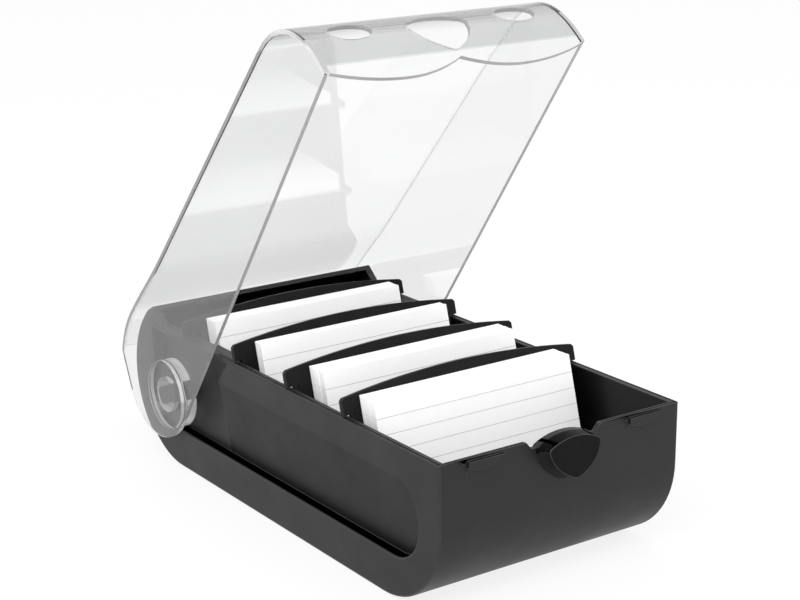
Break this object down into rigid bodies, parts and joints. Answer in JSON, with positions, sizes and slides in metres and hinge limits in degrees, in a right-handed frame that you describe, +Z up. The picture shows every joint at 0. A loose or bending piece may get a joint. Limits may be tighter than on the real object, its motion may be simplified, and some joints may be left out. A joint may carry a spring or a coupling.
{
  "type": "index card box",
  "caption": "Moulded index card box with a clear hinged lid standing open, leaning support plates and packs of ruled cards.",
  "frame": {"origin": "middle of the tray's flat underside", "axes": "+Z up, -Y towards the front with the thumb nose, +X to the right seen from the front"},
  "size_m": [0.1368, 0.2764, 0.2274],
  "materials": {
    "charcoal_plastic": "moulded charcoal polystyrene, fine satin",
    "black_plastic": "black polystyrene, satin",
    "clear_plastic": "clear crystal polystyrene, polished",
    "card_paper": "uncoated white card with printed grey rules"
  },
  "bodies": {
    "tray": {"base_tray": "charcoal_plastic"},
    "lid": {"clear_lid": "clear_plastic"},
    "divider_1": {"support_plate_1": "black_plastic", "card_stack_1": "card_paper", "third_card_1": "card_paper", "second_card_1": "card_paper"},
    "loose_card_1": {"front_card_1": "card_paper"},
    "divider_2": {"support_plate_2": "black_plastic", "card_stack_2": "card_paper", "third_card_2": "card_paper", "second_card_2": "card_paper"},
    "loose_card_2": {"front_card_2": "card_paper"},
    "divider_3": {"support_plate_3": "black_plastic", "card_stack_3": "card_paper", "third_card_3": "card_paper", "second_card_3": "card_paper"},
    "loose_card_3": {"front_card_3": "card_paper"},
    "divider_4": {"support_plate_4": "black_plastic", "card_stack_4": "card_paper", "third_card_4": "card_paper", "second_card_4": "card_paper"},
    "loose_card_4": {"front_card_4": "card_paper"}
  },
  "joints": [
    {"name": "lid_hinge", "type": "hinge", "parent": "tray", "child": "lid", "pos_m": [0, 0.0905, 0.0374], "axis": [-1, 0, 0], "range_deg": [-48, 47]},
    {"name": "divider_slide_1", "type": "slide", "parent": "tray", "child": "divider_1", "axis": [0, 1, 0], "range_m": [-0.007, 0.007]},
    {"name": "card_tip_1", "type": "hinge", "parent": "divider_1", "child": "loose_card_1", "pos_m": [0, -0.09018, 0.0053], "axis": [1, 0, 0], "range_deg": [0, 35]},
    {"name": "divider_slide_2", "type": "slide", "parent": "tray", "child": "divider_2", "axis": [0, 1, 0], "range_m": [-0.007, 0.007]},
    {"name": "card_tip_2", "type": "hinge", "parent": "divider_2", "child": "loose_card_2", "pos_m": [0, -0.04555, 0.0053], "axis": [1, 0, 0], "range_deg": [0, 10]},
    {"name": "divider_slide_3", "type": "slide", "parent": "tray", "child": "divider_3", "axis": [0, 1, 0], "range_m": [-0.007, 0.0025]},
    {"name": "card_tip_3", "type": "hinge", "parent": "divider_3", "child": "loose_card_3", "pos_m": [0, 0.00577, 0.0053], "axis": [1, 0, 0], "range_deg": [0, 10]},
    {"name": "divider_slide_4", "type": "slide", "parent": "tray", "child": "divider_4", "axis": [0, 1, 0], "range_m": [-0.007, 0.007]},
    {"name": "card_tip_4", "type": "hinge", "parent": "divider_4", "child": "loose_card_4", "pos_m": [0, 0.04807, 0.0053], "axis": [1, 0, 0], "range_deg": [0, 10]}
  ]
}
